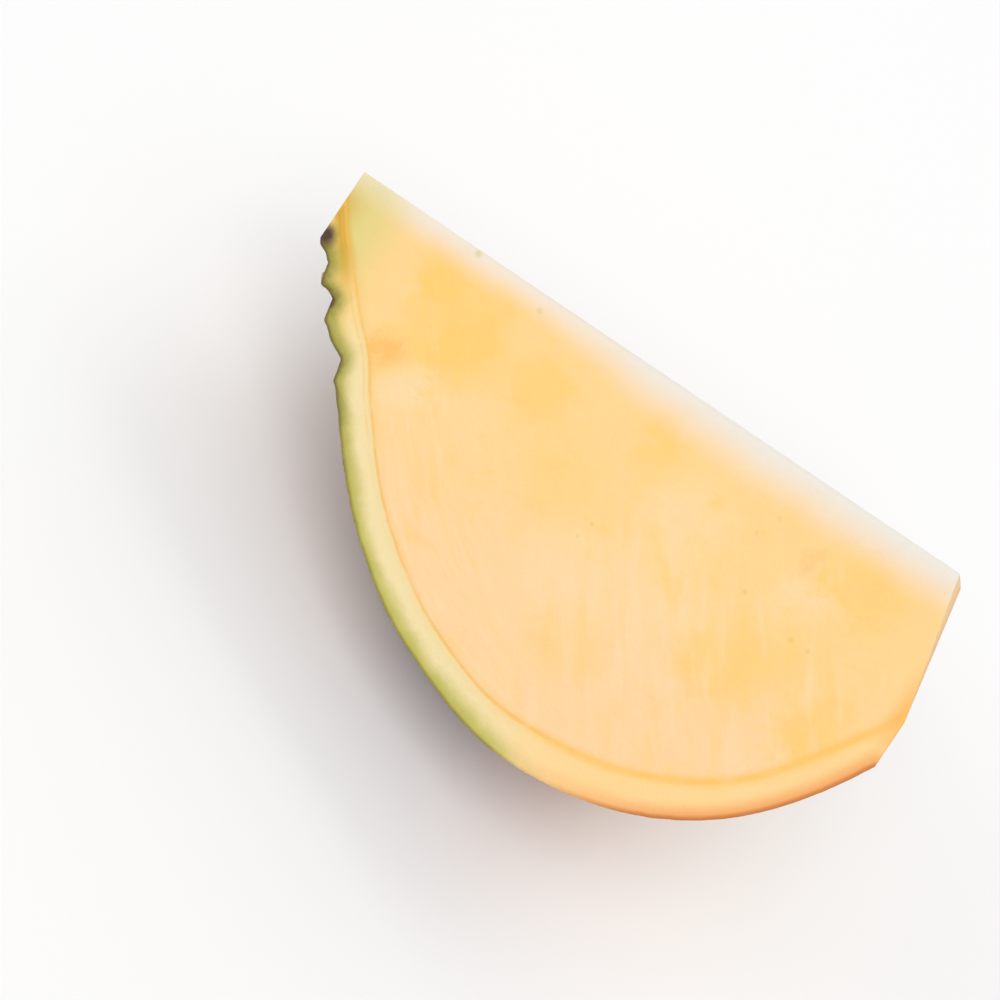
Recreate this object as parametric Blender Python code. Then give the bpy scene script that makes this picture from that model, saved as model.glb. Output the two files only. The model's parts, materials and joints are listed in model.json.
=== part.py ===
"""A quarter of a swede, cut lengthwise, resting on its skin with the knife-cut ridge uppermost.

Metres, +Z up. The swede grew as one piece, so the quarter is one solid. It is modelled lying along
its own axis, from the crown at x = 0 to the root, then laid down the way its weight balances it.
"""

import math

import bmesh
import bpy
import numpy as np
from mathutils import Matrix, Vector

NODE = "swede_wedge"

# Outline of the whole swede, from the crown cut to the root cut: the length of each stretch along the
# axis, and the radius where the stretch ends.
CROWN_RADIUS = 0.0106
NECK_LENGTH = 0.0165
NECK_FOOT_RADIUS = 0.0318
SHOULDER_LENGTH = 0.0123
SHOULDER_RADIUS = 0.0450
CHEST_LENGTH = 0.0154
CHEST_RADIUS = 0.0552
BELLY_LENGTH = 0.0236
BELLY_RADIUS = 0.0613
HIP_LENGTH = 0.0271
HIP_RADIUS = 0.0533
ROOT_LENGTH = 0.0184
ROOT_CUT_RADIUS = 0.0312
CROWN_FLARE = 1.27  # radius gained for each unit of length, at the crown
ROOT_FALL = -1.90  # the same, at the root cut

# The leaves left scars round the neck, which climbs in a terrace at each row of them.
SCAR_STATIONS = (0.0, 0.0036, 0.0069, 0.0125)
SCAR_RISE = 0.0028  # height of a terrace's riser
SCAR_RISER_LENGTH = 0.0006  # how far a riser leans along the axis

# How far from round the swede grew, as a share of the radius there.
LOBE_SHARE = 0.012
LOBES_PER_TURN = 3

# Knife cuts.
WEDGE_ANGLE = math.radians(90.0)  # between the two lengthwise cuts
ROOT_TRIM_DEPTH = 0.0046  # from the square root cut to where the slanting one meets the ridge
ROOT_TRIM_SLANT = math.radians(19.0)  # that cut against the square root cut
REST_SPOT_SAG = 0.0005  # depth of skin pressed flat where the quarter rests

# Facets.
STATIONS_PER_SPAN = 7
SKIN_STEPS = 30
SHARP_ANGLE = math.radians(30.0)

# Principled BSDF values.
FLESH_COLOUR = (0.98, 0.69, 0.31, 1.0)
FLESH_ROUGHNESS = 0.42
SKIN_COLOUR = (0.17, 0.07, 0.05, 1.0)
SKIN_ROUGHNESS = 0.62

FLESH, SKIN = 0, 1  # material slots
ALONG = Vector((1.0, 0.0, 0.0))  # the swede's axis, from crown to root
DOWN = Vector((0.0, 0.0, -1.0))  # from the ridge towards the middle of the skin
SAME_POINT = 1e-7


def clear_scene():
    for obj in list(bpy.data.objects):
        bpy.data.objects.remove(obj)


def knots():
    """(station, radius) where each stretch of the outline ends, from crown to root."""
    stretches = [
        (0.0, CROWN_RADIUS),
        (NECK_LENGTH, NECK_FOOT_RADIUS),
        (SHOULDER_LENGTH, SHOULDER_RADIUS),
        (CHEST_LENGTH, CHEST_RADIUS),
        (BELLY_LENGTH, BELLY_RADIUS),
        (HIP_LENGTH, HIP_RADIUS),
        (ROOT_LENGTH, ROOT_CUT_RADIUS),
    ]
    station = 0.0
    made = []
    for length, radius in stretches:
        station += length
        made.append((station, radius))
    return made


def root_cut_station():
    return knots()[-1][0]


def span_radius(span, u):
    """(station, radius) at share u of one span between knots, on the smooth curve through them all."""
    known = knots()
    slopes = [CROWN_FLARE]
    for before, after in zip(known, known[2:]):
        slopes.append((after[1] - before[1]) / (after[0] - before[0]))
    slopes.append(ROOT_FALL)
    (s0, r0), (s1, r1) = known[span], known[span + 1]
    length = s1 - s0
    rising = (r1 - r0) * u * u * (3.0 - 2.0 * u)
    leaving = u * (1.0 - u) ** 2 * length * slopes[span]
    arriving = u * u * (u - 1.0) * length * slopes[span + 1]
    return s0 + u * length, r0 + rising + leaving + arriving


def outline():
    """(station, radius) points down the swede's side: the terraced neck, then the smooth body."""
    points = []
    for scar in SCAR_STATIONS:
        for station, lift in ((scar, -SCAR_RISE / 2), (scar + SCAR_RISER_LENGTH, SCAR_RISE / 2)):
            _, radius = span_radius(0, station / NECK_LENGTH)
            points.append((station, radius + lift))
    for span in range(len(knots()) - 1):
        steps = range(1, STATIONS_PER_SPAN + 1)
        along_span = [span_radius(span, step / STATIONS_PER_SPAN) for step in steps]
        points += along_span if span else along_span[-1:]
    return points


def half_section(bm, side):
    """The flat face between the axis and the outline, standing out from the axis towards side."""
    ring = [bm.verts.new((0.0, 0.0, 0.0))]
    ring += [bm.verts.new(ALONG * station + side * radius) for station, radius in outline()]
    ring.append(bm.verts.new(ALONG * root_cut_station()))
    return bm.faces.new(ring)


def spin_quarter(bm):
    """Turns the half section about the axis through the wedge angle, which leaves a closed solid."""
    first_side = Matrix.Rotation(-WEDGE_ANGLE / 2, 3, ALONG) @ DOWN
    section = half_section(bm, first_side)
    bmesh.ops.spin(
        bm,
        geom=[section, *section.edges, *section.verts],
        cent=(0.0, 0.0, 0.0),
        axis=ALONG,
        angle=WEDGE_ANGLE,
        steps=SKIN_STEPS,
    )
    bmesh.ops.remove_doubles(bm, verts=bm.verts, dist=SAME_POINT)
    bmesh.ops.recalc_face_normals(bm, faces=bm.faces)


def turn_from_first_cut(point):
    """Angle of a point about the axis, counted from the first lengthwise cut."""
    return math.atan2(point.y, -point.z) + WEDGE_ANGLE / 2


def grow_lobes(bm):
    """Makes the skin slightly out of round. The first cut keeps the outline's own radii."""
    for vert in bm.verts:
        turn = turn_from_first_cut(vert.co)
        swell = 1.0 + LOBE_SHARE * math.sin(LOBES_PER_TURN * turn)
        vert.co.y *= swell
        vert.co.z *= swell


def slice_off(bm, point, outward, slot):
    """Drops what lies beyond a plane and closes the solid there with a flat face of that material."""
    cut = bmesh.ops.bisect_plane(
        bm,
        geom=[*bm.verts, *bm.edges, *bm.faces],
        dist=SAME_POINT,
        plane_co=point,
        plane_no=outward,
        clear_outer=True,
    )
    rim = [edge for edge in cut["geom_cut"] if isinstance(edge, bmesh.types.BMEdge)]
    closed = bmesh.ops.holes_fill(bm, edges=[edge for edge in rim if edge.is_boundary], sides=0)
    for face in closed["faces"]:
        face.material_index = slot
    bmesh.ops.recalc_face_normals(bm, faces=bm.faces)


def trim_root(bm):
    """The root's second cut, which slants back from the square one to the ridge."""
    root_side = ALONG * math.cos(ROOT_TRIM_SLANT) - DOWN * math.sin(ROOT_TRIM_SLANT)
    slice_off(bm, ALONG * (root_cut_station() - ROOT_TRIM_DEPTH), root_side, FLESH)


def centre_of_mass(bm):
    """Centroid of the closed solid, as a sum over the tetrahedra that its triangles make with the origin."""
    total = 0.0
    moment = Vector()
    for corner, left, right in bm.calc_loop_triangles():
        a, b, c = corner.vert.co, left.vert.co, right.vert.co
        volume = a.dot(b.cross(c)) / 6.0
        total += volume
        moment += (a + b + c) * (volume / 4.0)
    return moment / total


def laid_down(roll, tilt):
    """Rotation by roll about the swede's axis, then tilt in the upright plane through it."""
    return Matrix.Rotation(tilt, 3, "Y") @ Matrix.Rotation(roll, 3, "X")


def balance(bm):
    """Roll and tilt at which the centre of mass is lowest, which is how the quarter comes to rest."""
    centre = np.array(centre_of_mass(bm))
    arms = np.array([vert.co for vert in bm.verts]) - centre

    def height(roll, tilt):
        up = laid_down(roll, tilt).row[2]
        return -float((arms @ np.array(up)).min())

    pose = (0.0, 0.0)
    step = math.radians(8.0)
    finest = math.radians(0.002)
    while step > finest:
        tries = [(pose[0] + i * step, pose[1] + j * step) for i in (-1, 0, 1) for j in (-1, 0, 1)]
        best = min(tries, key=lambda pair: height(*pair))
        if best == pose:
            step /= 2
        pose = best
    return pose


def rest(bm):
    """Lays the quarter down in balance, presses its rest spot flat and centres it over the origin."""
    bmesh.ops.rotate(bm, verts=bm.verts, cent=(0.0, 0.0, 0.0), matrix=laid_down(*balance(bm)))
    lowest = min(vert.co.z for vert in bm.verts)
    slice_off(bm, Vector((0.0, 0.0, lowest + REST_SPOT_SAG)), DOWN, SKIN)
    points = np.array([vert.co for vert in bm.verts])
    low, high = points.min(axis=0), points.max(axis=0)
    middle = (low + high) / 2
    bmesh.ops.translate(bm, verts=bm.verts, vec=(-middle[0], -middle[1], -low[2]))


def material(name, colour, roughness):
    made = bpy.data.materials.new(name)
    made.use_nodes = True
    shader = made.node_tree.nodes["Principled BSDF"]
    shader.inputs["Base Color"].default_value = colour
    shader.inputs["Roughness"].default_value = roughness
    shader.inputs["Metallic"].default_value = 0.0
    return made


def paint(bm):
    """Flesh on the cuts, whose faces all start at the axis, and skin on what the outline swept."""
    for face in bm.faces:
        on_axis = any(math.hypot(vert.co.y, vert.co.z) < SAME_POINT for vert in face.verts)
        face.material_index = FLESH if on_axis else SKIN


def build():
    bm = bmesh.new()
    spin_quarter(bm)
    grow_lobes(bm)
    paint(bm)
    trim_root(bm)
    rest(bm)
    mesh = bpy.data.meshes.new(NODE)
    bm.to_mesh(mesh)
    bm.free()
    mesh.materials.append(material("flesh", FLESH_COLOUR, FLESH_ROUGHNESS))
    mesh.materials.append(material("skin", SKIN_COLOUR, SKIN_ROUGHNESS))
    mesh.shade_smooth()
    mesh.set_sharp_from_angle(angle=SHARP_ANGLE)
    wedge = bpy.data.objects.new(NODE, mesh)
    bpy.context.scene.collection.objects.link(wedge)


clear_scene()
build()
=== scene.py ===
"""Finishes the swede quarter: flesh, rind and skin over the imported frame, on a pale studio floor."""

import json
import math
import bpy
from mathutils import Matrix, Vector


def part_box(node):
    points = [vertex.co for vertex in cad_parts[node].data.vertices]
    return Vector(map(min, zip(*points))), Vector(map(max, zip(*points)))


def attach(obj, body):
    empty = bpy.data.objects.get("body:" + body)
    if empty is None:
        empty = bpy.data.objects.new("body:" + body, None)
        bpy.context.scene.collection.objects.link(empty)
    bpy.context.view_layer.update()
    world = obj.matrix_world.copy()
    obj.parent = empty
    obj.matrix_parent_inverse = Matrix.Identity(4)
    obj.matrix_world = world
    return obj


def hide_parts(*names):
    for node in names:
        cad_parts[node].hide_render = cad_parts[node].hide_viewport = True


bl_info = {
    "name": "Swede Quarter",
    "version": (1, 0, 0),
    "blender": (4, 5, 0),
    "location": "3D View > Sidebar > Swede",
    "description": "Models a raw swede quarter, with its rind, leaf scars and skin, and a plain studio",
    "category": "Object",
}

import bmesh
import bpy
import numpy as np
from bpy.props import FloatProperty, FloatVectorProperty, IntProperty, PointerProperty
from mathutils import Matrix, Vector, noise

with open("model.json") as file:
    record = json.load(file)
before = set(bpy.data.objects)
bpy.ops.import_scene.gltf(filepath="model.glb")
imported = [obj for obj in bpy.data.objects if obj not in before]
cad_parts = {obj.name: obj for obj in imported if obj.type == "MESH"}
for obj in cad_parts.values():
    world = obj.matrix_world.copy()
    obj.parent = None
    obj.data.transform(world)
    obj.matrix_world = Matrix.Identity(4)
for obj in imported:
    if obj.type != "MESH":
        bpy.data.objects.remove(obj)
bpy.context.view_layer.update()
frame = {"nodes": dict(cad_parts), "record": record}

NODE = "swede_wedge"
PIECE = "swede_quarter"
MM = 0.001
SAME_POINT = 1e-7
ON_PLANE = 1e-5
FLESH_SLOT, SKIN_SLOT = 0, 1

# The rim of the front cut.
RIM_SPACING = 0.00005  # between the points that the outline is first worked out at
CROWN_CORNER = 0.0009  # the crown cut stops this much short of the first leaf scar's edge
# Where the rim swells or sinks beside a leaf scar: station, half width and rise.
SCAR_FULLNESS = (
    (0.0034, 0.0011, 0.00065),
    (0.0069, 0.0008, 0.00030),
    (0.0098, 0.0010, 0.00020),
    (0.0138, 0.0017, -0.00065),
)
RISER_SLOPE = 2.5  # a stretch of the rim that climbs more steeply than this is a terrace's riser
LAST_SCAR = 0.0045  # length of the last row of leaf scars
RIND_SOFTENING = 0.008  # the ring inside the rind takes the rim averaged over this reach
RIND_RUN_ON = 0.020  # and runs on this far past both ends of it

# The quarter's mesh.
EVENED_ROWS = 25  # near the ridge, stations are averaged over this many rows to either side
LOBES_PER_TURN = 3
RELIEF_DEPTH = 0.0026  # the flesh moves with the skin's relief down to a few times this depth
CRACK_DEPTH = 0.0007  # the same, for the brown colour of the cracks
RIDGE_ROUNDING = 0.0009
ROOT_WEAR = 0.0010  # what has dried and shrunk back from the slanting root cut
CALM_AT_CROWN = 0.0012  # the relief fades out this close to the crown cut
CALM_AT_ROOT = 0.0013  # and this close to the root cut

# Finishes.
RING_DEPTH = 0.0041  # from the skin to the golden ring, at its least
STREAK_TURN = math.radians(34.0)  # between the streaks near the root and the square of the ridge
FLESH_ROUGHNESS = 0.44
SKIN_ROUGHNESS = 0.60
FLOOR_ROUGHNESS = 0.35
SPECULAR = 0.35

# Lamps: side and place of each.
LAMPS = {
    "key": (0.8, (-0.18, -0.55, 0.95)),
    "fill": (0.8, (0.25, 0.75, 0.60)),
    "side": (0.6, (-0.80, -0.25, 0.45)),
}
LAMPS_AIM = (0.0, 0.0, 0.03)


# ---------------------------------------------------------------- what the frame gives


def cut_plane(name):
    """Outward normal of a knife cut, and its distance from the origin."""
    mount = next(m for m in frame["record"]["mounts"] if m["name"] == name)
    normal = Vector(mount["axis"]).normalized()
    return normal, normal.dot(Vector(mount["pos_m"]))


def quarter_axes():
    """The quarter's own axes as a matrix into the row frame, and the angle between its two long cuts.

    X runs down the ridge from the crown cut, Y out along the front cut, and Z into the flesh.
    """
    front, front_reach = cut_plane("front_cut_face")
    back, back_reach = cut_plane("back_cut_face")
    ridge = back.cross(front).normalized()
    on_ridge = Matrix((front, back, ridge)).inverted() @ Vector((front_reach, back_reach, 0.0))
    crown = min(ridge.dot(vert.co) for vert in frame["nodes"][NODE].data.vertices)
    turned = Matrix((ridge, ridge.cross(front), -front)).transposed()
    angle = math.pi - front.angle(back)
    return Matrix.Translation(on_ridge + ridge * crown) @ turned.to_4x4(), angle


AXES, WEDGE_ANGLE = quarter_axes()


def cad_rim():
    """(station, radius) of the CAD quarter's rim on the front cut, from the crown cut to the root cut."""
    inward = AXES.inverted()
    local = [inward @ vert.co for vert in frame["nodes"][NODE].data.vertices]
    on_front = {(round(p.x, 6), round(p.y, 6)) for p in local if abs(p.z) < ON_PLANE and p.y > MM}
    end = max(station for station, _ in on_front)
    widest = max(radius for station, radius in on_front if station == end)
    return sorted(point for point in on_front if point[0] < end - ON_PLANE or point[1] == widest)


def root_trim():
    """A point on the slanting root cut and its outward normal, in the quarter's own axes."""
    inward = AXES.inverted()
    local = [inward @ vert.co for vert in frame["nodes"][NODE].data.vertices]
    end = max(p.x for p in local)
    on_ridge = max((p for p in local if math.hypot(p.y, p.z) < ON_PLANE), key=lambda p: p.x)
    corners = [p for p in local if p.x > end - ON_PLANE and p.y > MM]
    front_corner = min((p for p in corners if abs(p.z) < ON_PLANE), key=lambda p: p.y)
    back_way = Matrix.Rotation(WEDGE_ANGLE, 3, "X") @ Vector((0.0, 1.0, 0.0))
    on_back = [p for p in local if p.x > end - ON_PLANE and abs(p.dot(back_way) - p.yz.length) < ON_PLANE]
    back_corner = min((p for p in on_back if p.yz.length > MM), key=lambda p: p.yz.length)
    normal = (front_corner - on_ridge).cross(back_corner - on_ridge).normalized()
    return on_ridge, normal if normal.x > 0 else -normal


# ---------------------------------------------------------------- sizes and colours


def length(name, default, description):
    return FloatProperty(name=name, default=default, description=description, unit="LENGTH", precision=5)


def power(name, default, description):
    return FloatProperty(name=name, default=default, description=description, unit="POWER")


def share(name, default, description):
    return FloatProperty(name=name, default=default, description=description, subtype="FACTOR")


def colour(name, default, description):
    """A colour given as it is seen, from 0 to 255 a channel, and held as the shader reads it."""
    held = []
    for channel in default:
        value = channel / 255
        held.append(value / 12.92 if value <= 0.04045 else ((value + 0.055) / 1.055) ** 2.4)
    return FloatVectorProperty(name=name, default=held, description=description, subtype="COLOR", size=3)


class SwedeShape(bpy.types.PropertyGroup):
    """How finely the quarter is modelled, and the relief of its skin."""

    neck_step: length("Neck step", 0.00030, "Spacing of the mesh down the neck")
    body_step: length("Body step", 0.00048, "Spacing of the mesh down the body")
    columns: IntProperty(name="Columns", default=24, description="Mesh columns from the ridge to the rim")
    turns: IntProperty(name="Turns", default=190, description="Mesh steps from front cut to back cut")
    lobes: share("Lobes", 0.012, "How far from round the swede grew")
    rounding: length("Rounding", 0.0005, "How far the corners of the terraced neck are rounded")
    scallop: length("Scallop", 0.0021, "How far a leaf scar's edge bows towards the root")
    crack: length("Crack", 0.0010, "Depth of the cracks between the leaf scars")
    pit: length("Pit", 0.0008, "Depth of the vein pits on the leaf scars")
    cork: length("Cork", 0.00024, "Roughness of the corky neck")
    russet: length("Russet", 0.00014, "Height of the russet's ribs")
    swell: length("Swell", 0.00050, "Slow swells of the skin")
    knife: length("Knife marks", 0.00010, "Unevenness of the long cuts")


class SwedeFlesh(bpy.types.PropertyGroup):
    """Colours of the cut flesh and rind."""

    core: colour("Core", (255, 210, 140), "Flesh in the middle")
    gold: colour("Gold", (255, 203, 106), "Deeper yellow clouds")
    peach: colour("Peach", (254, 210, 157), "Peach flesh towards the rind")
    pale: colour("Pale", (252, 219, 174), "Pale, dry clouds")
    crown: colour("Crown", (222, 208, 126), "Greenish flesh under the crown")
    # Painted light: this whitish band along the ridge stands for light shining through the thin edge.
    ridge: colour("Ridge", (234, 229, 220), "Whitish flesh along the ridge")
    amber: colour("Amber", (252, 182, 84), "Orange flecks")
    honey: colour("Honey", (208, 160, 26), "Golden flesh and rind at the crown")
    ring: colour("Ring", (240, 184, 64), "Thin golden ring between flesh and rind")
    rind: colour("Rind", (238, 222, 168), "Pale inner rind")
    green: colour("Green", (190, 184, 76), "Green outer rind")
    moss: colour("Moss", (126, 118, 12), "Olive patches in the green, on the neck")
    edge: colour("Edge", (98, 86, 30), "Dark green line under the skin")
    root_ring: colour("Root ring", (252, 194, 88), "Broad golden ring near the root")
    root_rind: colour("Root rind", (254, 212, 142), "Rind near the root")
    root_edge: colour("Root edge", (240, 152, 70), "Orange under the skin near the root")
    root_line: colour("Root line", (186, 104, 34), "Brown line under the skin near the root")
    bruise: colour("Bruise", (72, 44, 24), "Brown tissue under a leaf scar")


class SwedeSkin(bpy.types.PropertyGroup):
    """Colours of the skin."""

    cork: colour("Cork", (202, 174, 146), "Corky leaf scars")
    cork_dark: colour("Dark cork", (136, 106, 82), "Grain of the cork")
    ochre: colour("Ochre", (192, 140, 80), "Stains on the cork")
    crack: colour("Crack", (44, 22, 16), "Cracks and pits")
    purple: colour("Purple", (82, 40, 52), "Smooth purple skin")
    mauve: colour("Mauve", (144, 108, 106), "Bloom on the purple skin")
    russet: colour("Russet", (194, 150, 112), "Tan russet")
    russet_dark: colour("Dark russet", (112, 70, 64), "Streaks in the russet")
    rust: colour("Rust", (140, 74, 38), "Rusty scars")
    brown: colour("Brown", (122, 76, 58), "Mottled brown skin")
    speck: colour("Speck", (206, 166, 130), "Pale lenticels")
    orange: colour("Orange", (204, 124, 50), "Orange skin near the root")
    gold: colour("Gold", (236, 176, 92), "Yellow skin at the root")


class SwedeStage(bpy.types.PropertyGroup):
    """Floor, lights and camera."""

    floor: colour("Floor", (250, 250, 250), "Studio floor")
    floor_side: length("Floor side", 6.0, "Side of the studio floor")
    world: FloatProperty(name="Surroundings", default=0.60, description="Light from all round")
    key: power("Key", 4.5, "Large soft lamp on the front cut's side")
    fill: power("Fill", 2.0, "Soft lamp from the other side")
    side: power("Side", 1.1, "Low soft lamp beyond the crown")
    lens: FloatProperty(name="Lens", default=85.0, description="Focal length", unit="CAMERA")
    distance: length("Distance", 0.354, "From the camera to the front cut")
    roll: FloatProperty(
        name="Roll",
        default=math.radians(34.0),
        description="How far the ridge falls to the right as the camera sees it",
        subtype="ANGLE",
    )
    aim_right: length("Aim right", 0.0203, "From the crown end of the ridge to the camera's aim")
    aim_down: length("Aim down", 0.0492, "The same, downwards as the camera sees it")


# ---------------------------------------------------------------- the quarter's mesh


def softened(curve, spacing, reach):
    """A run of evenly spaced points averaged over a distance, with its ends kept."""
    window = max(int(reach / spacing), 1)
    kernel = np.hanning(2 * window + 3)[1:-1]
    padded = np.pad(curve, ((window, window), (0, 0)), mode="reflect", reflect_type="odd")
    columns = [np.convolve(column, kernel / kernel.sum(), mode="valid") for column in padded.T]
    return np.stack(columns, axis=1)


def arc_lengths(curve):
    return np.concatenate([[0.0], np.cumsum(np.hypot(*np.diff(curve, axis=0).T))])


def fine_rim(points, neck_end, spacing, rounding):
    """The rim as closely spaced points: straight down the terraced neck, Hermite spans over the body."""
    knots = np.array(points)
    knots[0][1] = knots[1][1] - CROWN_CORNER
    at = arc_lengths(knots)
    slopes = np.gradient(knots, at, axis=0)
    finest = np.append(np.arange(0.0, at[-1], spacing), at[-1])
    span = np.clip(np.searchsorted(at, finest, side="right") - 1, 0, len(knots) - 2)
    start, end = knots[span], knots[span + 1]
    width = (at[span + 1] - at[span])[:, None]
    u = (finest - at[span])[:, None] / width
    straight = start + u * (end - start)
    bent = start + u * u * (3 - 2 * u) * (end - start)
    bent += width * u * (1 - u) * (slopes[span] * (1 - u) - slopes[span + 1] * u)
    curve = softened(np.where(start[:, :1] < neck_end - ON_PLANE, straight, bent), spacing, rounding)
    tangent = np.gradient(curve, axis=0)
    tangent /= np.linalg.norm(tangent, axis=1)[:, None]
    outward = np.stack([-tangent[:, 1], tangent[:, 0]], axis=1)
    stations = curve[:, 0].copy()
    for station, half_width, rise in SCAR_FULLNESS:
        beside = np.exp(-(((stations - station) / half_width) ** 2))
        curve += outward * (rise * beside)[:, None]
    curve[0] = (0.0, curve[0][1])
    return curve


def rim_rows(curve, neck_end, neck_step, body_step):
    """Points down the rim, one for each row of the mesh, and their arc lengths."""
    run = arc_lengths(curve)
    steps = np.where(curve[1:, 0] < neck_end, neck_step, body_step)
    wanted = np.concatenate([[0.0], np.cumsum(np.diff(run) / steps)])
    rows = np.linspace(0.0, wanted[-1], int(wanted[-1]) + 1)
    arc = np.interp(rows, wanted, run)
    return np.stack([np.interp(arc, run, curve[:, 0]), np.interp(arc, run, curve[:, 1])], axis=1), arc


def calm_outline(curve, spacing):
    """The rim without its terraces, run on straight past both ends, for the ring inside the rind."""
    calm = softened(curve, spacing, RIND_SOFTENING)[:: round(MM / spacing)]
    at_crown, at_root = calm[3] - calm[0], calm[-1] - calm[-4]
    before = calm[0] - at_crown * (RIND_RUN_ON / np.linalg.norm(at_crown))
    after = calm[-1] + at_root * (RIND_RUN_ON / np.linalg.norm(at_root))
    return np.vstack([before, calm, after])


def to_rim(points, rim, arc):
    """Distance of each point to the rim, and the arc length along the rim of the nearest place on it."""
    start, step = rim[:-1], np.diff(rim, axis=0)
    from_start = points[:, None, :] - start[None]
    along = np.clip((from_start * step).sum(axis=2) / (step**2).sum(axis=1), 0.0, 1.0)
    gap = np.linalg.norm(from_start - along[..., None] * step[None], axis=2)
    nearest = gap.argmin(axis=1)
    pick = np.arange(len(points))
    return gap[pick, nearest], arc[nearest] + along[pick, nearest] * np.diff(arc)[nearest]


def column_share(v):
    """Where a column stands between ridge and rim: columns crowd near both knife edges."""
    near_ridge, near_rim = v**1.5, (1.0 - v) ** 1.7
    return near_ridge / (near_ridge + near_rim)


def section(rim, columns):
    """The front cut as a grid, one row for each rim point, running from the ridge to the rim."""
    rows = len(rim) - 1
    bm = bmesh.new()
    bmesh.ops.create_grid(bm, x_segments=rows, y_segments=columns, size=0.5)
    span = 2 * EVENED_ROWS + 1
    padded = np.pad(rim[:, 0], EVENED_ROWS, mode="reflect", reflect_type="odd")
    even = np.convolve(padded, np.ones(span) / span, mode="valid")
    for vert in bm.verts:
        row = round((vert.co.x + 0.5) * rows)
        reach = column_share(round((vert.co.y + 0.5) * columns) / columns)
        station = even[row] + (rim[row][0] - even[row]) * reach
        vert.co = (station, rim[row][1] * reach, 0.0)
    return bm


def mark_depth(bm, rim, arc, calm):
    """Gives each vertex its depth under the skin, its place down the rim, and its depth in the rind."""
    names = ("below_skin", "down_rim", "in_rind")
    layers = [bm.verts.layers.float.new(name) for name in names]
    verts = list(bm.verts)
    points = np.array([vert.co[:2] for vert in verts])
    at_once = 2000
    for first in range(0, len(verts), at_once):
        batch = slice(first, first + at_once)
        depth, place = to_rim(points[batch], rim, arc)
        in_rind, _ = to_rim(points[batch], calm, arc_lengths(calm))
        for vert, values in zip(verts[batch], zip(depth, place, in_rind)):
            for layer, value in zip(layers, values):
                vert[layer] = value


def spin_quarter(bm, turns):
    """Sweeps the section from the front cut to the back cut, which leaves a closed solid."""
    bmesh.ops.spin(
        bm,
        geom=[*bm.verts, *bm.edges, *bm.faces],
        cent=(0.0, 0.0, 0.0),
        axis=(1.0, 0.0, 0.0),
        angle=WEDGE_ANGLE,
        steps=turns,
    )
    on_axis = [vert for vert in bm.verts if math.hypot(vert.co.y, vert.co.z) < SAME_POINT]
    bmesh.ops.remove_doubles(bm, verts=on_axis, dist=SAME_POINT)
    bmesh.ops.recalc_face_normals(bm, faces=bm.faces)


def smooth_step(value, low, high):
    u = min(max((value - low) / (high - low), 0.0), 1.0)
    return u * u * (3.0 - 2.0 * u)


def hump(value, middle, width):
    return math.exp(-(((value - middle) / width) ** 2))


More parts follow.
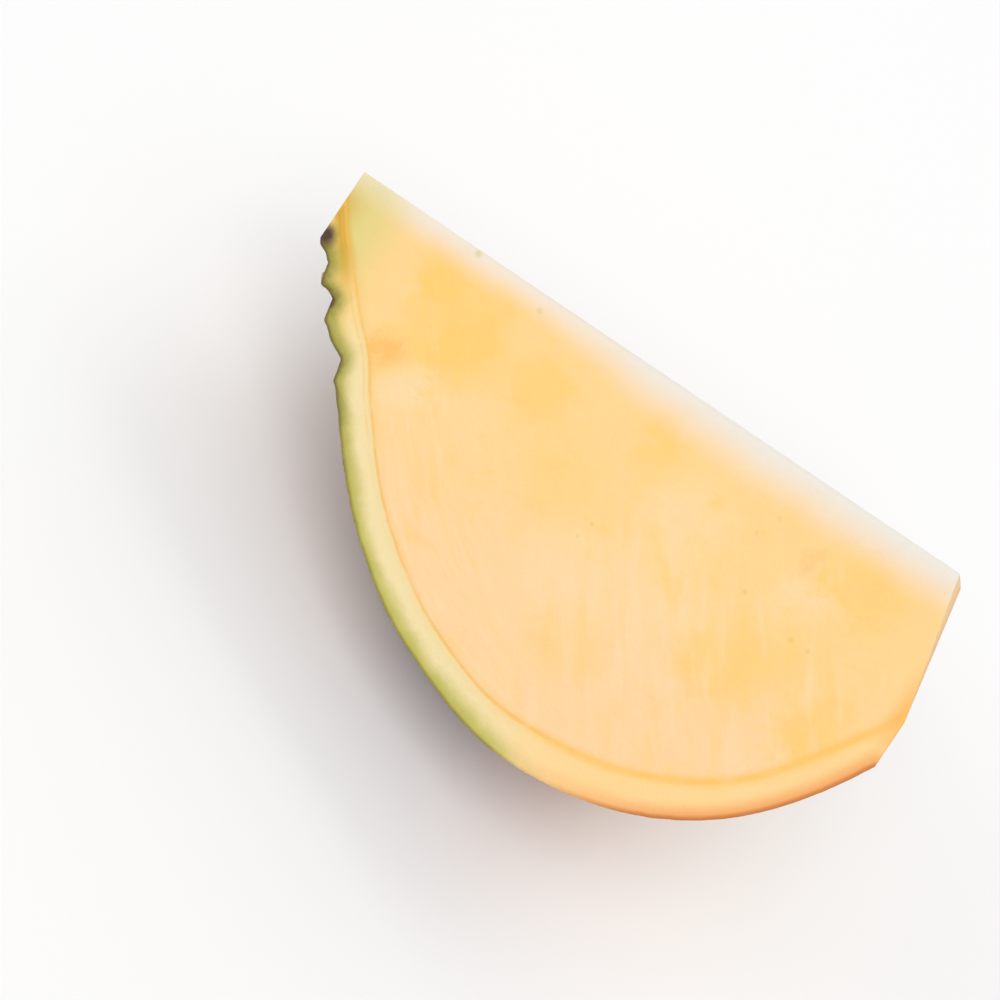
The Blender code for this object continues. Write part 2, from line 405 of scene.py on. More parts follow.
class SkinRelief:
    """Relief of the skin, as heights over the smooth outline. Stations and arcs are in metres."""

    def __init__(self, shape, rim_points):
        stretches = list(zip(rim_points, rim_points[1:]))
        self.rows = [a[0] for a, b in stretches if b[1] - a[1] > RISER_SLOPE * (b[0] - a[0])]
        self.neck_end = self.rows[-1] + LAST_SCAR
        self.shape = shape

    def row_at(self, station):
        """Which row of leaf scars a station is on, how far down it from 0 to 1, and what is left of it."""
        ends = [*self.rows[1:], self.neck_end]
        for index, (top, foot) in enumerate(zip(self.rows, ends)):
            if station < foot:
                return index, (station - top) / (foot - top), foot - station
        return len(self.rows), 0.0, 1.0

    def scar_phase(self, row, turn):
        """Runs through pi from one side of a leaf scar to the other."""
        return 3.3 * turn + 1.25 * row + 0.75

    def shift(self, station, turn):
        """How far the leaf scars' edges move down the neck, so that each one bows like a scallop.

        Near the front cut they only move down, so that no scar stands out past the cut's own rim.
        """
        fade = smooth_step(station, 0.0, 3 * MM) * (1.0 - smooth_step(station, 15 * MM, 26 * MM))
        away = smooth_step(turn, 0.04, 0.28)
        row, _, _ = self.row_at(station)
        bow = abs(math.sin(self.scar_phase(min(row, len(self.rows) - 1), turn))) ** 0.8 - 0.62
        drift = noise.noise(Vector((station / MM / 5.0, turn * 2.0, 3.1)))
        least = -smooth_step(turn, 0.10, 0.60)
        return fade * away * self.shape.scallop * max(bow + 0.7 * drift, least)

    def marks(self, station, turn):
        """(crack, pit) at a place on the neck, each from 0 to 1."""
        if station > self.neck_end + MM:
            return 0.0, 0.0
        row, down, to_foot = self.row_at(station)
        if row == len(self.rows):
            return 0.0, 0.0
        phase = self.scar_phase(row, turn)
        ragged = 0.6 + 0.8 * noise.noise(Vector((station / MM * 0.6, turn * 9.0, 7.7)))
        foot = hump(to_foot, 0.15 * MM, 0.42 * MM) * smooth_step(ragged, 0.1, 0.5)
        side = hump(math.sin(phase), 0.0, 0.06) * smooth_step(down, 0.2, 0.7)
        pit = hump(down, 0.45, 0.17) * hump(math.cos(phase + 0.2 * row), 0.0, 0.20)
        from_cut = min(turn, WEDGE_ANGLE - turn)
        away = smooth_step(from_cut, 0.01, 0.08)
        return min(foot + side, 1.0) * away, pit * away * (1.0 if row % 2 else 0.7)

    def height(self, station, arc, turn, radius):
        """Outward offset of the skin at a place, with its crack and pit marks."""
        shape = self.shape
        crack, pit = self.marks(station, turn)
        around = turn * radius
        away = smooth_step(turn, 0.0, 0.22)
        here = Vector((arc / MM, around / MM, 0.0))
        neck = 1.0 - smooth_step(station, self.neck_end - 2 * MM, self.neck_end + 2 * MM)
        russet = (1.0 - neck) * (1.0 - smooth_step(station, 34 * MM, 52 * MM))
        cork = noise.fractal(here * 0.55, 0.9, 2.1, 4) * shape.cork * neck * (0.3 + 0.7 * away)
        drawn_out = Vector((here.x * 0.28, here.y, 5.0))
        ribs = noise.fractal(drawn_out, 0.8, 2.0, 4) * shape.russet * russet
        fine = noise.fractal(here * 0.45, 1.0, 2.0, 3) * 0.05 * MM * (1.0 - neck)
        swell = noise.noise(here * 0.045) * shape.swell * away * smooth_step(station, 10 * MM, 25 * MM)
        ring = noise.noise(Vector((arc / MM * 0.16, turn * 0.7, 9.0)))
        crease = hump(ring, 0.0, 0.035) * 0.14 * MM * (1.0 - neck) * away
        offset = cork + ribs + fine + swell - crease - crack * shape.crack - pit * shape.pit
        return offset, crack, pit


def dress_skin(bm, shape, rim_points, rim, arc):
    """Moves the skin, and the flesh close under it, by the skin's relief, and notes its marks."""
    depth, place = (bm.verts.layers.float[name] for name in ("below_skin", "down_rim"))
    skin = SkinRelief(shape, rim_points)
    names = ("station", "reach", "turn", "crack")
    note = {name: bm.verts.layers.float.new(name) for name in names}
    tangent = np.gradient(rim, arc, axis=0)
    tangent /= np.linalg.norm(tangent, axis=1)[:, None]
    end = rim[-1][0]
    for vert in bm.verts:
        station, reach = vert.co.x, math.hypot(vert.co.y, vert.co.z)
        turn = math.atan2(vert.co.z, vert.co.y) if reach > SAME_POINT else 0.0
        vert[note["station"]] = station
        vert[note["reach"]] = reach
        vert[note["turn"]] = turn
        if reach < SAME_POINT:
            continue
        at = vert[place]
        rim_station = float(np.interp(at, arc, rim[:, 0]))
        rim_radius = float(np.interp(at, arc, rim[:, 1]))
        out = Vector((-float(np.interp(at, arc, tangent[:, 1])), float(np.interp(at, arc, tangent[:, 0]))))
        keep = math.exp(-vert[depth] / RELIEF_DEPTH)
        if keep > 0.02:
            offset, crack, pit = skin.height(rim_station, at, turn, rim_radius)
            vert[note["crack"]] = max(crack, pit) * math.exp(-vert[depth] / CRACK_DEPTH)
            off_crown = smooth_step(station, 0.0, CALM_AT_CROWN)
            off_root = smooth_step(end - station, 0.1 * MM, CALM_AT_ROOT)
            station += offset * keep * out.x * off_crown * off_root
            station += skin.shift(rim_station, turn) * keep
            reach += offset * keep * out.y
        lobed = reach * (1.0 + shape.lobes * math.sin(LOBES_PER_TURN * turn))
        vert.co = (station, lobed * math.cos(turn), lobed * math.sin(turn))


def roughen_cuts(bm, shape):
    """The long cuts are not quite flat: shallow waves and steps from the knife."""
    back_way = Matrix.Rotation(WEDGE_ANGLE, 3, "X") @ Vector((0.0, 1.0, 0.0))
    back_out = back_way.cross(Vector((1.0, 0.0, 0.0)))
    back_out = back_out if back_out.y < 0.0 else -back_out
    for vert in bm.verts:
        reach = vert.co.yz.length
        on_front = abs(vert.co.z) < ON_PLANE
        if not on_front and abs(vert.co.dot(back_out)) > ON_PLANE:
            continue
        here = Vector((vert.co.x / MM, reach / MM, 0.0 if on_front else 40.0))
        wave = noise.noise(here * 0.07) + 0.35 * noise.noise(here * 0.23)
        settle = smooth_step(reach, 0.3 * MM, 4.0 * MM)
        out = Vector((0.0, 0.0, -1.0)) if on_front else back_out
        vert.co += out * (wave * shape.knife * settle)


def paint_faces(bm):
    """Skin where a face lies wholly on the outline, flesh on every cut."""
    depth = bm.verts.layers.float["below_skin"]
    for face in bm.faces:
        on_skin = all(vert[depth] < ON_PLANE for vert in face.verts)
        face.material_index = SKIN_SLOT if on_skin else FLESH_SLOT
        face.smooth = True


def dull_ridge(bm):
    """Rounds the knife edge of the ridge a little."""
    ridge = [vert for vert in bm.verts if math.hypot(vert.co.y, vert.co.z) < RIDGE_ROUNDING]
    for _ in range(2):
        bmesh.ops.smooth_vert(bm, verts=ridge, factor=0.5, use_axis_y=True, use_axis_z=True)


def trim_root(bm):
    """The slanting root cut, closed with one flat facet."""
    point, normal = root_trim()
    point = point - normal * ROOT_WEAR
    cut = bmesh.ops.bisect_plane(
        bm,
        geom=[*bm.verts, *bm.edges, *bm.faces],
        dist=SAME_POINT,
        plane_co=point,
        plane_no=normal,
        clear_outer=True,
    )
    edges = [edge for edge in cut["geom_cut"] if isinstance(edge, bmesh.types.BMEdge)]
    rim = [edge for edge in edges if edge.is_boundary]
    closed = bmesh.ops.holes_fill(bm, edges=rim, sides=0)
    for face in closed["faces"]:
        face.material_index = FLESH_SLOT
        face.smooth = True
    for edge in rim:
        edge.smooth = False


def lay_down(bm):
    """Into the row frame, with the skin pressed flat where it rests."""
    bmesh.ops.transform(bm, matrix=AXES, verts=bm.verts)
    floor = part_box(NODE)[0][2]
    for vert in bm.verts:
        vert.co.z = max(vert.co.z, floor)


def quarter_mesh(shape):
    rim_points = cad_rim()
    neck_end = SkinRelief(shape, rim_points).neck_end
    curve = fine_rim(rim_points, neck_end - MM, RIM_SPACING, shape.rounding)
    rim, arc = rim_rows(curve, neck_end, shape.neck_step, shape.body_step)
    bm = section(rim, shape.columns)
    mark_depth(bm, rim, arc, calm_outline(curve, RIM_SPACING))
    spin_quarter(bm, shape.turns)
    paint_faces(bm)
    dress_skin(bm, shape, rim_points, rim, arc)
    roughen_cuts(bm, shape)
    dull_ridge(bm)
    trim_root(bm)
    lay_down(bm)
    bmesh.ops.recalc_face_normals(bm, faces=bm.faces)
    mesh = bpy.data.meshes.new(PIECE)
    bm.to_mesh(mesh)
    bm.free()
    return mesh


# ---------------------------------------------------------------- shader fields


class Field:
    """A shader socket that varies over a surface. Sums written on fields add their Math nodes."""

    def __init__(self, tree, socket):
        self.tree = tree
        self.socket = socket

    def node(self, kind, settings, inputs, out=0):
        """Any node: its settings are set first, then its sockets are given values or links."""
        made = self.tree.nodes.new(kind)
        for name, value in settings.items():
            setattr(made, name, value)
        for name, value in inputs.items():
            socket = made.inputs[name]
            if isinstance(value, Field):
                self.tree.links.new(value.socket, socket)
            elif hasattr(socket.default_value, "__len__") and len(socket.default_value) == 4:
                socket.default_value = (*value, 1.0)
            else:
                socket.default_value = value
        return Field(self.tree, made.outputs[out])

    def math(self, operation, first, second=0.0):
        return self.node("ShaderNodeMath", {"operation": operation}, {0: first, 1: second})

    def __add__(self, other):
        return self.math("ADD", self, other)

    def __radd__(self, other):
        return self.math("ADD", other, self)

    def __sub__(self, other):
        return self.math("SUBTRACT", self, other)

    def __rsub__(self, other):
        return self.math("SUBTRACT", other, self)

    def __mul__(self, other):
        return self.math("MULTIPLY", self, other)

    def __rmul__(self, other):
        return self.math("MULTIPLY", other, self)

    def attribute(self, name):
        return self.node("ShaderNodeAttribute", {"attribute_name": name}, {}, out="Fac")

    def rise(self, low, high):
        """0 below low and 1 above high, with a smooth step between; high may be the lower one."""
        settings = {"interpolation_type": "SMOOTHSTEP"}
        inputs = {"Value": self, "From Min": low, "From Max": high}
        return self.node("ShaderNodeMapRange", settings, inputs)

    def band(self, middle, width):
        """1 at middle, falling smoothly to 0 at width from it."""
        return self.math("ABSOLUTE", self - middle).rise(width, 0.0)

    def vector(self, x, y, z):
        return self.node("ShaderNodeCombineXYZ", {}, {"X": x, "Y": y, "Z": z})

    def noise(self, place, scale, detail=3.0, roughness=0.5, distortion=0.0):
        inputs = {
            "Vector": place,
            "Scale": scale,
            "Detail": detail,
            "Roughness": roughness,
            "Distortion": distortion,
        }
        return self.node("ShaderNodeTexNoise", {}, inputs)

    def cells(self, place, scale):
        """Distance to the middle of the nearest cell."""
        return self.node("ShaderNodeTexVoronoi", {}, {"Vector": place, "Scale": scale}, out="Distance")

    def mix(self, mask, under, over):
        """Colour under, with over on it where mask is 1."""
        settings = {"data_type": "RGBA", "clamp_factor": True}
        return self.node("ShaderNodeMix", settings, {0: mask, 6: under, 7: over}, out=2)

    def bump(self, height, distance, under=None):
        inputs = {"Height": height, "Distance": distance, "Strength": 1.0}
        if under is not None:
            inputs["Normal"] = under
        return self.node("ShaderNodeBump", {}, inputs)


def new_material(name):
    """A node material, its Principled shader, and a blank field to write its sums with."""
    material = bpy.data.materials.new(name)
    material.use_nodes = True
    shader = material.node_tree.nodes["Principled BSDF"]
    return material, shader, Field(material.node_tree, None)


def link(field, shader, socket):
    field.tree.links.new(field.socket, shader.inputs[socket])


def object_place(f):
    """Place on the piece, in metres."""
    return f.node("ShaderNodeTexCoord", {}, {}, out="Object")


# ---------------------------------------------------------------- materials


# Clouds in the flesh by the front cut: station, distance from the ridge, radius and strength.
GOLD_CLOUDS = (
    (0.0195, 0.0070, 0.0088, 1.00),
    (0.0285, 0.0075, 0.0062, 0.60),
    (0.0275, 0.0140, 0.0085, 0.90),
    (0.0215, 0.0160, 0.0080, 0.60),
    (0.0400, 0.0125, 0.0085, 0.70),
    (0.0590, 0.0090, 0.0070, 0.65),
    (0.0500, 0.0220, 0.0110, 0.30),
    (0.0970, 0.0095, 0.0110, 0.60),
    (0.0950, 0.0260, 0.0080, 0.30),
    (0.0860, 0.0310, 0.0110, 0.60),
    (0.1030, 0.0330, 0.0090, 0.70),
    (0.0640, 0.0420, 0.0090, 0.35),
    (0.0330, 0.0340, 0.0060, 0.25),
)
PALE_CLOUDS = (
    (0.0900, 0.0155, 0.0060, 0.45),
    (0.0345, 0.0230, 0.0060, 0.15),
    (0.0235, 0.0245, 0.0050, 0.50),
    (0.0690, 0.0170, 0.0090, 0.40),
    (0.0740, 0.0280, 0.0080, 0.35),
    (0.0600, 0.0330, 0.0120, 0.35),
)
AMBER_SPOTS = ((0.0173, 0.0199, 0.0042, 0.65), (0.0875, 0.0120, 0.0030, 0.30))
# Small olive flecks, where a vein was cut across.
FLECKS = (
    (0.0210, 0.0006, 0.0009, 0.75),
    (0.0334, 0.0026, 0.0008, 0.55),
    (0.0806, 0.0083, 0.0006, 0.50),
    (0.0790, 0.0120, 0.0006, 0.50),
    (0.0825, 0.0203, 0.0006, 0.60),
    (0.0923, 0.0225, 0.0007, 0.55),
    (0.0953, 0.0225, 0.0006, 0.50),
    (0.0578, 0.0248, 0.0006, 0.50),
    (0.0570, 0.0274, 0.0005, 0.45),
)
# Brown tissue under the leaf scars that the front cut goes through.
SCARS = ((0.0007, 0.0111, 0.0024, 1.0), (0.0066, 0.0189, 0.0012, 0.95))


def spots(f, under, over, on_cut, fade, places):
    """Round soft spots of a colour at places on the front cut, fading out round the swede."""
    for station, reach, radius, strength in places:
        ends = {0: on_cut, 1: (station, reach, 0.0)}
        away = f.node("ShaderNodeVectorMath", {"operation": "DISTANCE"}, ends, out="Value")
        under = f.mix(away.rise(radius, radius * 0.2) * fade * strength, under, over)
    return under


class FleshColour:
    """The flesh colour, built up from the middle of the swede outwards."""

    def __init__(self, f, tones):
        self.f = f
        self.tones = {name: tuple(getattr(tones, name)) for name in tones.__annotations__}
        self.place = object_place(f)
        for name in ("station", "reach", "turn", "below_skin", "in_rind", "crack", "down_rim"):
            setattr(self, name, f.attribute(name))
        self.soft = f.noise(self.place, 60.0, 3.0, 0.55, 0.3)
        self.blotch = f.noise(self.place, 170.0, 4.0, 0.6, 0.5)
        self.front = self.turn.rise(0.5, 0.2)
        self.rootward = (self.station + (self.blotch - 0.5) * 0.012).rise(0.054, 0.080)
        body = self.station.rise(0.004, 0.016) * 0.0009
        crown = self.station.rise(0.0035, 0.0) * 0.0007
        hip = self.station.band(0.078, 0.034) * 0.0011
        self.inside = self.in_rind - (RING_DEPTH + body + crown + hip) + (self.soft - 0.5) * 0.0010

    def middle(self):
        f, tones = self.f, self.tones
        outer = (self.reach + (self.soft - 0.5) * 0.022).rise(0.018, 0.044)
        shade = f.mix(outer * 0.9, tones["core"], tones["peach"])
        shade = f.mix((self.blotch - 0.5).rise(0.02, 0.20) * 0.30, shade, tones["gold"])
        wander = self.blotch - 0.5
        out = self.reach - wander * 0.014 + (self.soft - 0.5) * 0.008
        on_cut = f.vector(self.station + wander * 0.014, out, 0.0)
        shade = spots(f, shade, tones["gold"], on_cut, self.front, GOLD_CLOUDS)
        shade = spots(f, shade, tones["pale"], on_cut, self.front, PALE_CLOUDS)
        shade = spots(f, shade, tones["amber"], on_cut, self.front, AMBER_SPOTS)
        drift = f.noise(self.place, 45.0, 2.0, 0.5, 0.4)
        behind = drift.rise(0.50, 0.68) * (1.0 - self.front)
        return f.mix(behind * 0.8, shade, tones["gold"])

    def grain(self, under):
        """Fine streaks: beside the rind on the crown half, across the ridge on the root half."""
        f = self.f
        beside = f.noise(f.vector(self.down_rim * 0.10, self.below_skin, 0.0), 900.0, 3.0, 0.6)
        crown_half = self.station.rise(0.075, 0.045) * self.station.rise(0.010, 0.032)
        near = self.below_skin.rise(0.024, 0.010) * crown_half
        shade = f.mix(beside.rise(0.50, 0.70) * near * 0.45, under, self.tones["pale"])
        shade = f.mix(beside.rise(0.46, 0.32) * near * 0.30, shade, self.tones["gold"])
        over = self.station * math.cos(STREAK_TURN) - self.reach * math.sin(STREAK_TURN)
        down = self.station * math.sin(STREAK_TURN) + self.reach * math.cos(STREAK_TURN)
        across = f.noise(f.vector(over, down * 0.16, 0.0), 380.0, 3.0, 0.5, 0.5)
        far = self.station.rise(0.045, 0.070) * self.reach.rise(0.014, 0.026)
        shade = f.mix(across.rise(0.50, 0.72) * far * 0.42, shade, self.tones["pale"])
        return f.mix(across.rise(0.48, 0.30) * far * 0.32, shade, self.tones["gold"])

    def ends(self, under):
        """Greenish under the crown, golden beside its cut, and whitish along the ridge, where painted
        light stands for light shining through the thin edge.
        """
        f = self.f
        greenish = (self.station + (self.soft - 0.5) * 0.008).rise(0.0140, 0.0040)
        shade = f.mix(greenish * 0.9, under, self.tones["crown"])
        golden = self.station.rise(0.0046, -0.0012) * self.reach.rise(0.0, 0.0062)
        shade = f.mix(golden * 0.75, shade, self.tones["honey"])
        width = 0.0054 + 0.0030 * self.station.rise(0.036, 0.060)
        # Painted light: the flesh near the ridge is whitened, as if lit through from behind.
        ridge_backlight = (self.reach + (self.soft - 0.5) * 0.003).rise(width, -0.0006)
        strength = 0.45 + 0.40 * self.station.rise(0.003, 0.012) + 0.15 * self.station.rise(0.036, 0.060)
        return f.mix(ridge_backlight * strength, shade, self.tones["ridge"])

    def rind(self, under):
        """The pale rind and the ring inside it."""
        f, tones, inside = self.f, self.tones, self.inside
        crownward = self.station.rise(0.0100, 0.0035)
        pale = f.mix(self.rootward, tones["rind"], tones["root_rind"])
        pale = f.mix(self.station.rise(0.0160, 0.0060) * 0.70, pale, tones["gold"])
        shade = f.mix(inside.rise(0.0005, -0.0006) * 0.85, under, pale)
        honey = inside.band(-0.0010, 0.0022) * crownward
        shade = f.mix(honey, shade, tones["honey"])
        ring = f.mix(self.rootward, tones["ring"], tones["root_ring"])
        shade = f.mix(inside.band(0.0, 0.0016) * (0.16 + 0.34 * self.rootward), shade, ring)
        broken = (self.blotch - 0.5).rise(-0.16, 0.08)
        width = 0.00034 + self.rootward * 0.00050
        line = f.math("ABSOLUTE", inside).rise(width, 0.00006)
        shade = f.mix(line * (0.28 + 0.40 * broken), shade, ring)
        second = f.math("ABSOLUTE", inside + 0.0009).rise(0.00034, 0.0)
        return f.mix(second * broken * self.station.rise(0.030, 0.018) * 0.34, shade, tones["ring"])

    def under_skin(self, under):
        """Green close under the skin, olive on the neck, turning orange towards the root."""
        f, tones, depth = self.f, self.tones, self.below_skin
        leafy = self.station.rise(0.022, 0.012)
        green_to = 0.0030 + leafy * 0.0006 + (self.blotch - 0.5) * 0.0030
        green_to = green_to + self.station.band(0.060, 0.012) * 0.0008
        green_half = (self.station + (self.blotch - 0.5) * 0.010).rise(0.074, 0.061)
        green = depth.rise(green_to, green_to * 0.12) * green_half
        mottled = (self.blotch + (self.soft - 0.5) * 0.5).rise(0.40, 0.60)
        mossy = self.station.rise(0.026, 0.010) * (0.60 + 0.40 * mottled) + mottled * 0.10
        leaf = f.mix(mossy * depth.rise(0.0030, 0.0004), tones["green"], tones["moss"])
        shade = f.mix(green * 0.95, under, leaf)
        edge = depth.rise(0.00065, 0.00012)
        shade = f.mix(edge * green_half * (0.55 + 0.30 * leafy), shade, tones["edge"])
        orange = depth.rise(0.0032, 0.0002) * self.station.rise(0.062, 0.096)
        shade = f.mix(orange * 0.85, shade, tones["root_edge"])
        brown = depth.rise(0.0009, 0.0002) * self.station.rise(0.068, 0.092)
        return f.mix(brown * 0.75, shade, tones["root_line"])

    def colour(self):
        f, tones = self.f, self.tones
        shade = self.under_skin(self.rind(self.ends(self.grain(self.middle()))))
        on_cut = f.vector(self.station, self.reach, 0.0)
        shade = spots(f, shade, tones["green"], on_cut, self.front * 0.55, FLECKS)
        root_glow = self.station.rise(0.1095, 0.1128) * self.reach.band(0.0215, 0.0120)
        shade = f.mix(root_glow * 0.75, shade, tones["amber"])
        along = self.station + (self.blotch - 0.5) * 0.003
        out = self.reach + (self.soft - 0.5) * 0.003
        ragged = f.vector(along, out, 0.0)
        shade = spots(f, shade, tones["bruise"], ragged, self.front, SCARS)
        return f.mix(self.crack.rise(0.25, 0.85), shade, tones["bruise"])


def flesh_material(tones):
    material, shader, f = new_material("flesh")
    flesh = FleshColour(f, tones)
    link(flesh.colour(), shader, "Base Color")
    grain = f.noise(flesh.place, 900.0, 4.0, 0.6)
    waves = f.noise(flesh.place, 160.0, 3.0, 0.5)
    bump = f.bump(grain, 0.00008, f.bump(waves, 0.00030))
    groove = flesh.inside.band(0.0, 0.0007) * (1.0 - flesh.rootward)
    link(f.bump(1.0 - groove, 0.00005, bump), shader, "Normal")
    link(FLESH_ROUGHNESS + (grain - 0.5) * 0.25, shader, "Roughness")
    shader.inputs["Subsurface Weight"].default_value = 0.15
    shader.inputs["Subsurface Radius"].default_value = (1.0, 0.55, 0.25)
    shader.inputs["Subsurface Scale"].default_value = 0.0025
    shader.inputs["Specular IOR Level"].default_value = SPECULAR
    return material


class SkinColour:
    """The skin's colour, zone by zone from the crown to the root."""

    def __init__(self, f, tones):
        self.f = f
        self.tones = {name: tuple(getattr(tones, name)) for name in tones.__annotations__}
        self.place = object_place(f)
        self.station, self.turn = f.attribute("station"), f.attribute("turn")
        self.arc, self.crack = f.attribute("down_rim"), f.attribute("crack")
        self.around = self.turn * 0.045
        self.soft = f.noise(self.place, 60.0, 3.0, 0.55, 0.3)
        self.blotch = f.noise(self.place, 220.0, 5.0, 0.65, 0.5)
        self.streaks = self.lengthwise(0.38, 1500.0, 0.9)
        self.flecks = self.lengthwise(0.60, 1150.0, 0.4)
        self.at = self.station + (self.soft - 0.5) * 0.014 + (self.blotch - 0.5) * 0.005
        self.on_russet = self.at.rise(0.0170, 0.0200) * self.at.rise(0.048, 0.034)
        low = 0.0170 + 0.0042 * f.math("COSINE", self.turn * 4.0)
        self.on_collar = (self.station + (self.blotch - 0.5) * 0.002).rise(low + 0.0022, low)

    def lengthwise(self, stretch, scale, distortion):
        """Noise drawn out from crown to root."""
        place = self.f.vector(self.arc * stretch, self.around, 0.0)
        return self.f.noise(place, scale, 3.0, 0.62, distortion)

    def body(self):
        """Mottled purple and brown, with bloom and pale lenticels."""
        f, tones = self.f, self.tones
        shade = f.mix(self.soft.rise(0.40, 0.60), tones["brown"], tones["purple"])
        shade = f.mix(self.blotch.rise(0.40, 0.62) * 0.75, shade, tones["mauve"])
        shade = f.mix(self.flecks.rise(0.50, 0.66) * 0.50, shade, tones["russet"])
        shade = f.mix(self.flecks.rise(0.44, 0.32) * 0.55, shade, tones["russet_dark"])
        cells = f.cells(f.vector(self.arc * 0.8, self.around, 0.0), 520.0).rise(0.26, 0.12)
        return f.mix(cells * self.blotch.rise(0.44, 0.58) * 0.7, shade, tones["speck"])

    def russet(self, under):
        f, tones = self.f, self.tones
        shade = f.mix(self.streaks.rise(0.42, 0.55), tones["russet_dark"], tones["russet"])
        shade = f.mix(self.streaks.rise(0.57, 0.68) * 0.7, shade, tones["speck"])
        shade = f.mix(self.blotch.rise(0.46, 0.36) * 0.45, shade, tones["mauve"])
        rusty = f.noise(self.place, 120.0, 4.0, 0.6, 0.5).rise(0.60, 0.70)
        shade = f.mix(rusty * 0.7, shade, tones["rust"])
        return f.mix(self.on_russet * (0.65 + 0.35 * self.blotch.rise(0.40, 0.55)), under, shade)

    def cork(self, under):
        f, tones = self.f, self.tones
        collar = f.mix(self.flecks.rise(0.45, 0.70) * 0.25, tones["purple"], tones["mauve"])
        shade = f.mix(self.on_collar * 0.95, under, collar)
        fibres = self.lengthwise(0.16, 2000.0, 0.3)
        scar = f.mix(fibres.rise(0.52, 0.70) * 0.6, tones["cork"], tones["cork_dark"])
        scar = f.mix(self.blotch.rise(0.52, 0.66) * 0.55, scar, tones["ochre"])
        scar = f.mix(self.soft.rise(0.46, 0.36) * 0.45, scar, tones["cork_dark"])
        ragged = (self.blotch - 0.5) * 0.004 + (self.streaks - 0.5) * 0.002
        neck = (self.station + ragged).rise(0.0172, 0.0158)
        return f.mix(neck, shade, scar)

    def root(self, under):
        f, tones = self.f, self.tones
        ragged = self.at + (self.flecks - 0.5) * 0.03
        warm = f.mix(ragged.rise(0.078, 0.106), tones["orange"], tones["gold"])
        warm = f.mix(self.flecks.rise(0.55, 0.68) * 0.5, warm, tones["brown"])
        warm = f.mix(self.streaks.rise(0.44, 0.34) * 0.3, warm, tones["rust"])
        return f.mix(ragged.rise(0.060, 0.088), under, warm)

    def colour(self):
        shade = self.root(self.cork(self.russet(self.body())))
        return self.f.mix(self.crack.rise(0.28, 0.85), shade, self.tones["crack"])


def skin_material(tones):
    material, shader, f = new_material("skin")
    skin = SkinColour(f, tones)
    link(skin.colour(), shader, "Base Color")
    coarse = f.noise(skin.place, 800.0, 5.0, 0.65)
    height = skin.streaks * skin.on_russet * 1.2 + skin.flecks * 0.4 + coarse * 0.5
    link(f.bump(height, 0.00040), shader, "Normal")
    link(SKIN_ROUGHNESS - skin.on_collar * 0.20 + (coarse - 0.5) * 0.25, shader, "Roughness")
    shader.inputs["Specular IOR Level"].default_value = SPECULAR
    return material


def floor_material(stage):
    material, shader, _ = new_material("studio_floor")
    shader.inputs["Base Color"].default_value = (*stage.floor, 1.0)
    shader.inputs["Roughness"].default_value = FLOOR_ROUGHNESS
    return material


# ---------------------------------------------------------------- operators


class SWEDE_OT_quarter(bpy.types.Operator):
    """Models the quarter and gives it its flesh and skin"""

    bl_idname = "swede.quarter"
    bl_label = "Swede Quarter"

    def execute(self, context):
        scene = context.scene
        mesh = quarter_mesh(scene.swede_shape)
        mesh.materials.append(flesh_material(scene.swede_flesh))
        mesh.materials.append(skin_material(scene.swede_skin))
        piece = bpy.data.objects.new(PIECE, mesh)
        scene.collection.objects.link(piece)
        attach(piece, "root")
        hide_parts(NODE)
        return {"FINISHED"}


def add_lamp(scene, name, energy, side, place):
    """A square soft lamp that shines at the quarter's middle."""
    light = bpy.data.lights.new(name, "AREA")
    light.energy = energy
    light.size = side
    lamp = bpy.data.objects.new(name, light)
    lamp.location = place
    lamp.rotation_euler = (Vector(LAMPS_AIM) - Vector(place)).to_track_quat("-Z", "Y").to_euler()
    scene.collection.objects.link(lamp)


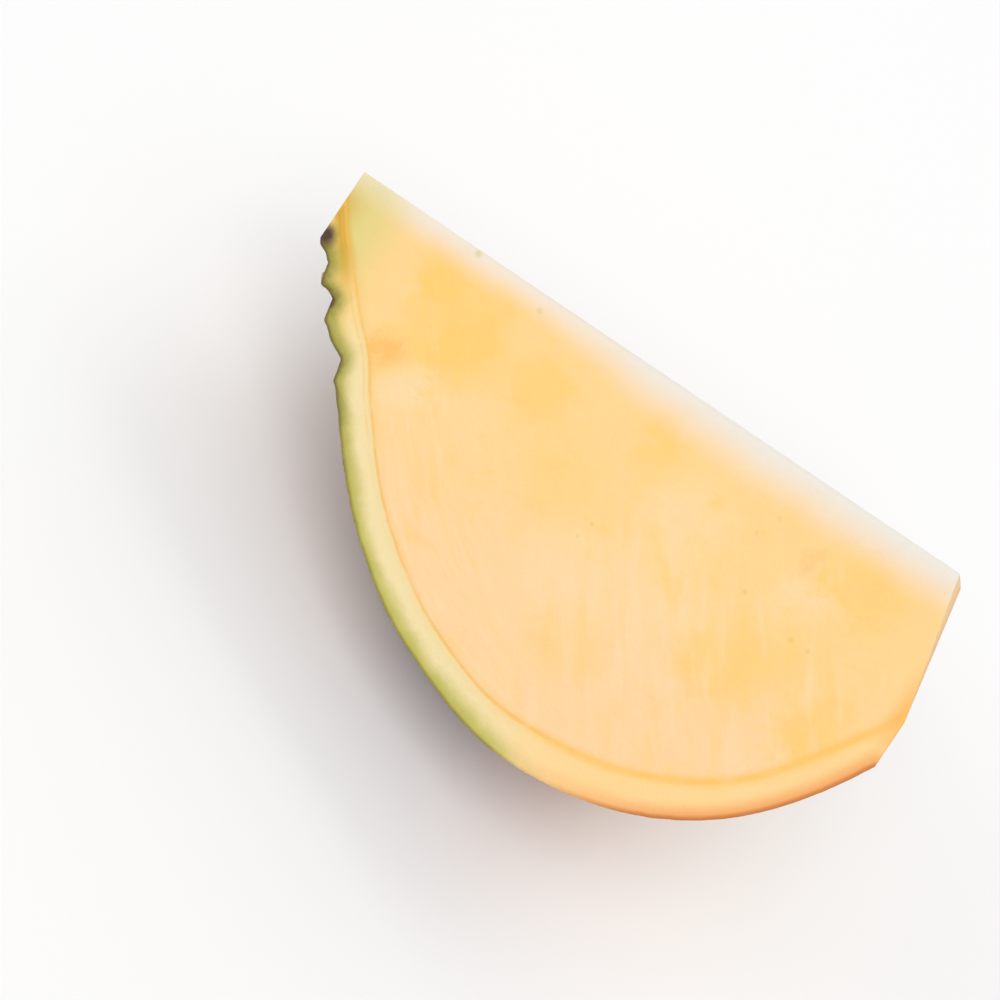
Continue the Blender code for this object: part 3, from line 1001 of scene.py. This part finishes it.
class SWEDE_OT_stage(bpy.types.Operator):
    """Lays the floor and sets the lamps and the camera"""

    bl_idname = "swede.stage"
    bl_label = "Studio"

    def execute(self, context):
        scene = context.scene
        stage = scene.swede_stage
        self.add_floor(scene, stage)
        self.add_lights(scene, stage)
        self.add_camera(scene, stage)
        scene.view_settings.view_transform = "Standard"
        return {"FINISHED"}

    def add_floor(self, scene, stage):
        bm = bmesh.new()
        bmesh.ops.create_grid(bm, x_segments=1, y_segments=1, size=stage.floor_side / 2)
        mesh = bpy.data.meshes.new("studio_floor")
        bm.to_mesh(mesh)
        bm.free()
        mesh.materials.append(floor_material(stage))
        floor = bpy.data.objects.new("studio_floor", mesh)
        scene.collection.objects.link(floor)

    def add_lights(self, scene, stage):
        world = bpy.data.worlds.new("studio")
        world.use_nodes = True
        surround = world.node_tree.nodes["Background"]
        surround.inputs["Color"].default_value = (1.0, 1.0, 1.0, 1.0)
        surround.inputs["Strength"].default_value = stage.world
        scene.world = world
        for name, (side, place) in LAMPS.items():
            add_lamp(scene, name, getattr(stage, name), side, place)

    def add_camera(self, scene, stage):
        along, front_side, inward = AXES.to_3x3().transposed()
        right = along * math.cos(stage.roll) - front_side * math.sin(stage.roll)
        up = -along * math.sin(stage.roll) - front_side * math.cos(stage.roll)
        aim = AXES.translation + right * stage.aim_right - up * stage.aim_down
        data = bpy.data.cameras.new("camera")
        data.lens = stage.lens
        data.clip_start = 0.01
        camera = bpy.data.objects.new("camera", data)
        turned = Matrix((right, up, -inward)).transposed().to_4x4()
        camera.matrix_world = Matrix.Translation(aim - inward * stage.distance) @ turned
        scene.collection.objects.link(camera)
        scene.camera = camera


class SWEDE_PT_panel(bpy.types.Panel):
    """Lists the quarter and its studio"""

    bl_idname = "SWEDE_PT_panel"
    bl_label = "Swede Quarter"
    bl_space_type = "VIEW_3D"
    bl_region_type = "UI"
    bl_category = "Swede"

    def draw(self, context):
        layout = self.layout
        for operator, groups in (
            (SWEDE_OT_quarter, ("swede_shape", "swede_flesh", "swede_skin")),
            (SWEDE_OT_stage, ("swede_stage",)),
        ):
            layout.operator(operator.bl_idname)
            for name in groups:
                group = getattr(context.scene, name)
                for prop in group.bl_rna.properties:
                    if prop.identifier not in {"name", "rna_type"}:
                        layout.prop(group, prop.identifier)


GROUPS = {
    "swede_shape": SwedeShape,
    "swede_flesh": SwedeFlesh,
    "swede_skin": SwedeSkin,
    "swede_stage": SwedeStage,
}
CLASSES = (*GROUPS.values(), SWEDE_OT_quarter, SWEDE_OT_stage, SWEDE_PT_panel)


def register():
    for cls in CLASSES:
        bpy.utils.register_class(cls)
    for name, group in GROUPS.items():
        setattr(bpy.types.Scene, name, PointerProperty(type=group))


def unregister():
    for name in GROUPS:
        delattr(bpy.types.Scene, name)
    for cls in reversed(CLASSES):
        bpy.utils.unregister_class(cls)


def main():
    register()
    bpy.ops.swede.quarter()
    bpy.ops.swede.stage()


if __name__ == "__main__":
    main()
